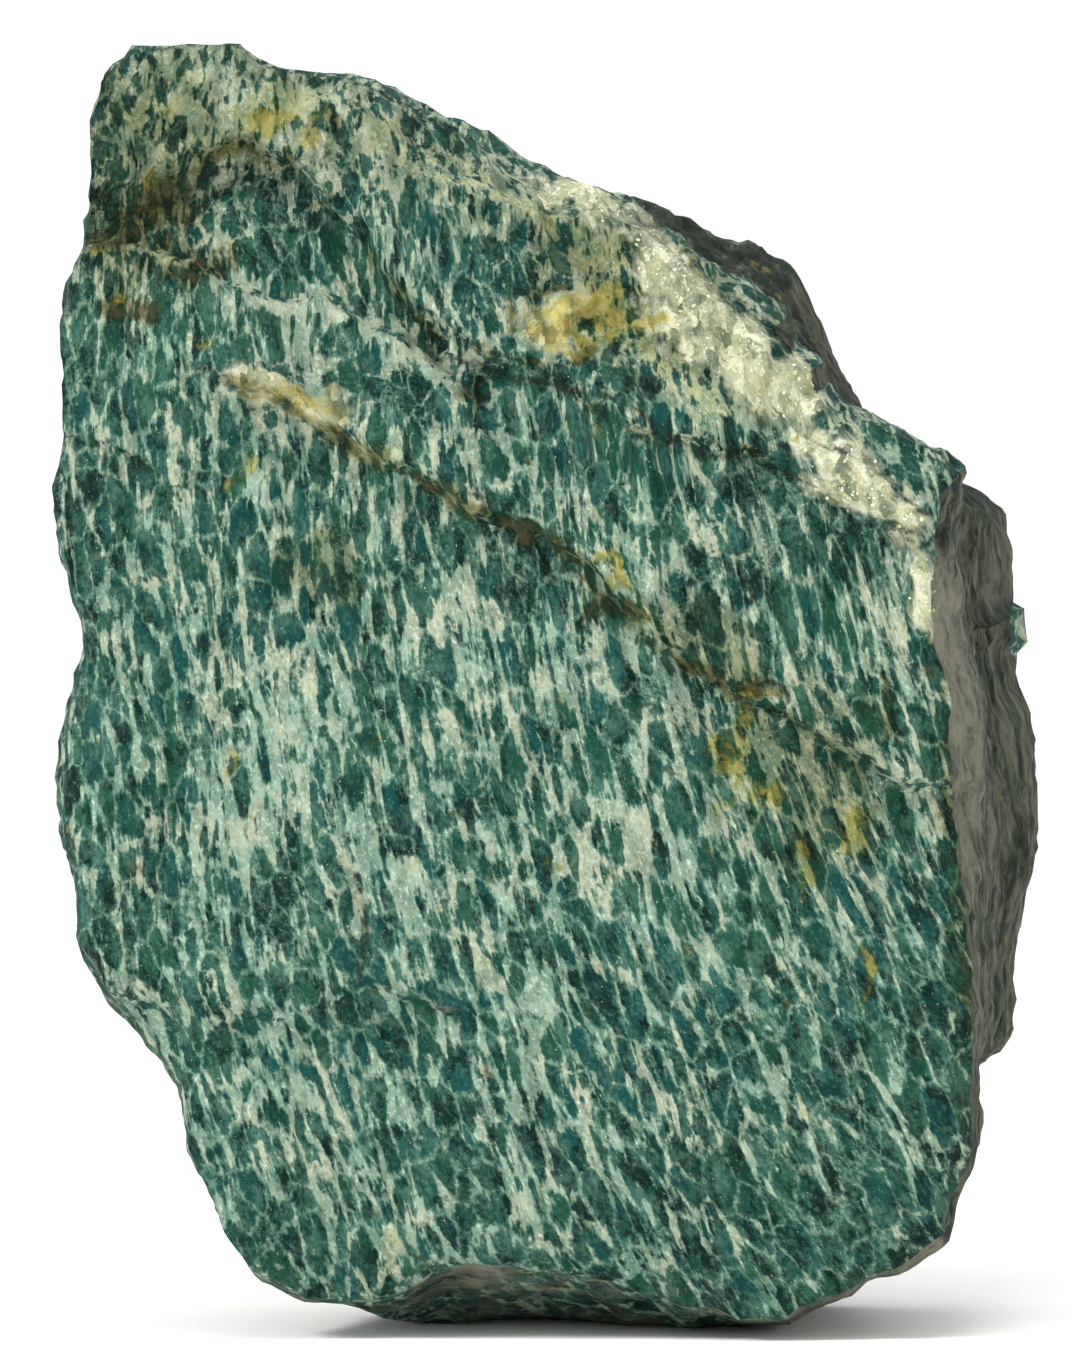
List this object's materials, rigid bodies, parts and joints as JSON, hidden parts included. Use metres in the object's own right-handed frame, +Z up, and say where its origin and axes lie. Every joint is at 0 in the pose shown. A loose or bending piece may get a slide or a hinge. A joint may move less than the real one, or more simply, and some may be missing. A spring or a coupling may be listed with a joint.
{
  "type": "rough amazonite",
  "caption": "Rough block of green amazonite: one flat mottled cleavage face with scarps and a quartz vein, broken sides and back, standing on a small flat spot.",
  "frame": {"origin": "on the resting plane, under the centre of the bounding box", "axes": "+Z up, -Y out of the mottled cleavage face, +X to the right when that face is looked at"},
  "size_m": [0.0874, 0.0612, 0.1122],
  "materials": {
    "amazonite": "rough cleaved feldspar, deep blue-green cells between cream stringers, satin on the cleavage face and dull on the broken sides"
  },
  "bodies": {
    "root": {"amazonite_stone": "amazonite"}
  },
  "joints": []
}
